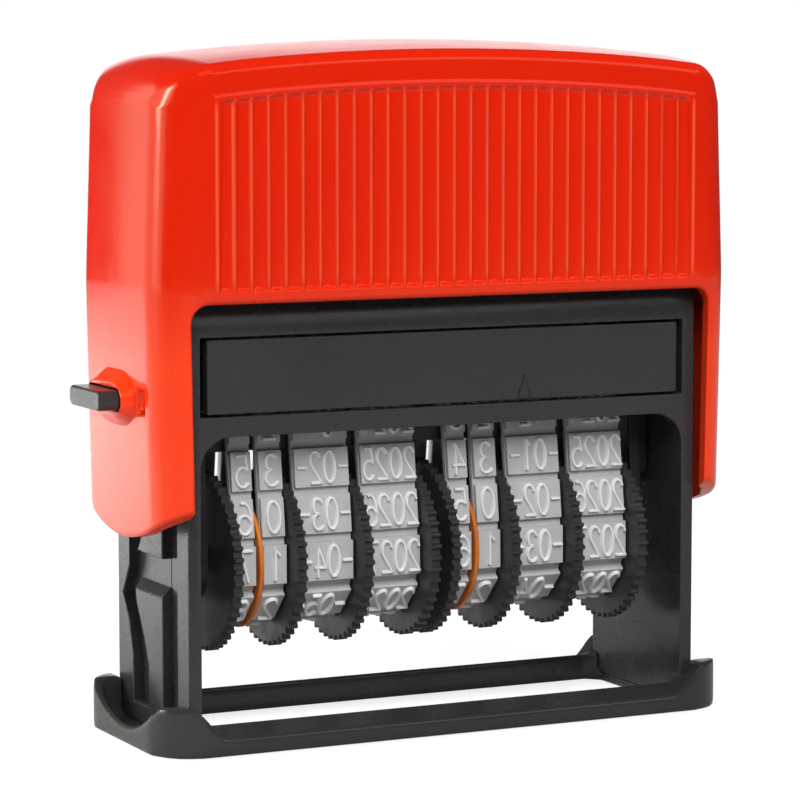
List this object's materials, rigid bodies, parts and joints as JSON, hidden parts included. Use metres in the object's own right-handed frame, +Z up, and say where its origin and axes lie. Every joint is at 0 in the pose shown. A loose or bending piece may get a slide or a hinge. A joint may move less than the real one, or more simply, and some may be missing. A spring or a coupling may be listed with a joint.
{
  "type": "self-inking date stamp",
  "caption": "Self-inking date stamp: a ribbed press-down cap on a window frame flips a carriage of turnable date bands from an ink pad to the paper.",
  "frame": {"origin": "middle of the foot's underside, which is where the middle of the print lands on the paper", "axes": "+Z up towards the cap, +X along the line of print, +Y to the back (the front faces -Y)"},
  "size_m": [0.085, 0.0304, 0.0872],
  "materials": {
    "cap_red": "glossy moulded",
    "body_black": "satin moulded",
    "inner_black": "satin moulded",
    "wheel_black": "moulded",
    "band_rubber": "smooth pale rubber",
    "separator_orange": "smooth",
    "steel": "drawn wire",
    "ink_felt": "inked felt"
  },
  "bodies": {
    "stand": {"foot": "body_black", "frame": "body_black", "left_return_spring": "steel", "right_return_spring": "steel"},
    "cap": {"cap_shell": "cap_red", "yoke": "inner_black"},
    "lock_button": {"lock_button": "body_black"},
    "ink_cartridge": {"cartridge_tray": "body_black", "ink_pad": "ink_felt"},
    "carriage": {"carriage_left_side": "inner_black", "carriage_right_side": "inner_black", "platen_bar": "inner_black", "wheel_shaft": "steel", "left_separator": "separator_orange", "right_separator": "separator_orange", "left_day_units_band": "band_rubber", "left_day_tens_band": "band_rubber", "left_month_band": "band_rubber", "left_year_band": "band_rubber", "right_day_units_band": "band_rubber", "right_day_tens_band": "band_rubber", "right_month_band": "band_rubber", "right_year_band": "band_rubber"},
    "left_day_units_wheel": {"left_day_units_wheel": "wheel_black"},
    "left_day_tens_wheel": {"left_day_tens_wheel": "wheel_black"},
    "left_month_wheel": {"left_month_wheel": "wheel_black"},
    "left_year_wheel": {"left_year_wheel": "wheel_black"},
    "right_day_units_wheel": {"right_day_units_wheel": "wheel_black"},
    "right_day_tens_wheel": {"right_day_tens_wheel": "wheel_black"},
    "right_month_wheel": {"right_month_wheel": "wheel_black"},
    "right_year_wheel": {"right_year_wheel": "wheel_black"}
  },
  "joints": [
    {"name": "cap_press", "type": "slide", "parent": "stand", "child": "cap", "axis": [0, 0, -1], "range_m": [0, 0.022], "stiffness_N_per_m": 250, "springref_m": -0.012, "deforming": ["left_return_spring", "right_return_spring"]},
    {"name": "carriage_flip", "type": "hinge", "parent": "cap", "child": "carriage", "pos_m": [0, 0, 0.03185], "axis": [-1, 0, 0], "range_deg": [0, 180]},
    {"name": "lock_press", "type": "slide", "parent": "cap", "child": "lock_button", "axis": [1, 0, 0], "range_m": [0, 0.0014]},
    {"name": "cartridge_slide", "type": "slide", "parent": "stand", "child": "ink_cartridge", "axis": [0, -1, 0], "range_m": [0, 0.028]},
    {"name": "left_day_units_turn", "type": "hinge", "parent": "carriage", "child": "left_day_units_wheel", "pos_m": [-0.02633, 0, 0.0221], "axis": [1, 0, 0], "continuous": true},
    {"name": "left_day_tens_turn", "type": "hinge", "parent": "carriage", "child": "left_day_tens_wheel", "pos_m": [-0.02237, 0, 0.0221], "axis": [1, 0, 0], "continuous": true},
    {"name": "left_month_turn", "type": "hinge", "parent": "carriage", "child": "left_month_wheel", "pos_m": [-0.01537, 0, 0.0221], "axis": [1, 0, 0], "continuous": true},
    {"name": "left_year_turn", "type": "hinge", "parent": "carriage", "child": "left_year_wheel", "pos_m": [-0.00613, 0, 0.0221], "axis": [1, 0, 0], "continuous": true},
    {"name": "right_day_units_turn", "type": "hinge", "parent": "carriage", "child": "right_day_units_wheel", "pos_m": [0.00367, 0, 0.0221], "axis": [1, 0, 0], "continuous": true},
    {"name": "right_day_tens_turn", "type": "hinge", "parent": "carriage", "child": "right_day_tens_wheel", "pos_m": [0.00762, 0, 0.0221], "axis": [1, 0, 0], "continuous": true},
    {"name": "right_month_turn", "type": "hinge", "parent": "carriage", "child": "right_month_wheel", "pos_m": [0.01463, 0, 0.0221], "axis": [1, 0, 0], "continuous": true},
    {"name": "right_year_turn", "type": "hinge", "parent": "carriage", "child": "right_year_wheel", "pos_m": [0.02388, 0, 0.0221], "axis": [1, 0, 0], "continuous": true}
  ],
  "couplings": [
    {"joint": "carriage_flip", "follows": "cap_press", "rad_per_m": 142.79}
  ]
}
